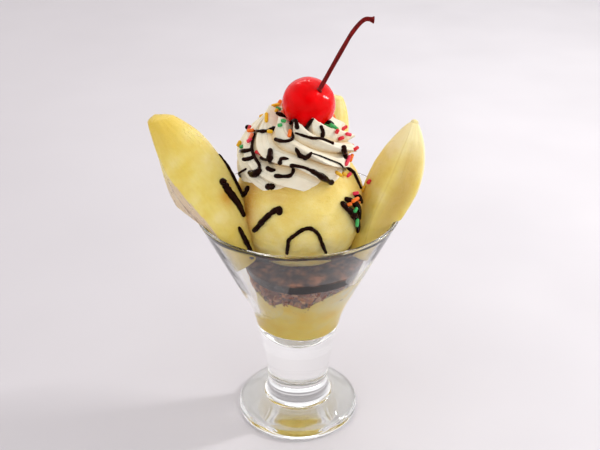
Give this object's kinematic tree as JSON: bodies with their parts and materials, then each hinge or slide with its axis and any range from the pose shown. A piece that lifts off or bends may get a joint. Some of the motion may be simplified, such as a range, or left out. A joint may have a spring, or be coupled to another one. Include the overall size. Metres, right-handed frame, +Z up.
{
  "type": "parfait",
  "caption": "Banana parfait in a footed conical glass, with layered custard, chocolate flakes and sauce, ice cream, whipped cream, drizzle, sugar strands and a cherry on a stalk.",
  "frame": {"origin": "middle of the flat underside of the glass's foot, on the glass's axis", "axes": "+Z up along the glass's axis, -Y towards the front that the picture shows, +X to the right"},
  "size_m": [0.1162, 0.0892, 0.1924],
  "materials": {
    "clear_glass": "clear pressed soda-lime glass, polished",
    "custard": "soft yellow custard, satin",
    "chocolate_flakes": "broken dark chocolate flakes, matt",
    "chocolate_sauce": "dark chocolate sauce, glossy",
    "vanilla_ice_cream": "vanilla ice cream, finely rough",
    "whipped_cream": "piped whipped cream, satin",
    "banana_flesh": "peeled banana flesh, moist",
    "candied_cherry": "candied cherry, wet and glossy",
    "cherry_stalk": "dark red-brown stalk, satin"
  },
  "bodies": {
    "root": {"glass": "clear_glass", "custard": "custard", "chocolate_flakes": "chocolate_flakes", "chocolate_sauce": "chocolate_sauce", "ice_cream_ball": "vanilla_ice_cream", "whipped_cream": "whipped_cream", "banana_left": "banana_flesh", "banana_right": "banana_flesh", "banana_back": "banana_flesh", "cherry": "candied_cherry", "cherry_stalk": "cherry_stalk"}
  },
  "joints": []
}
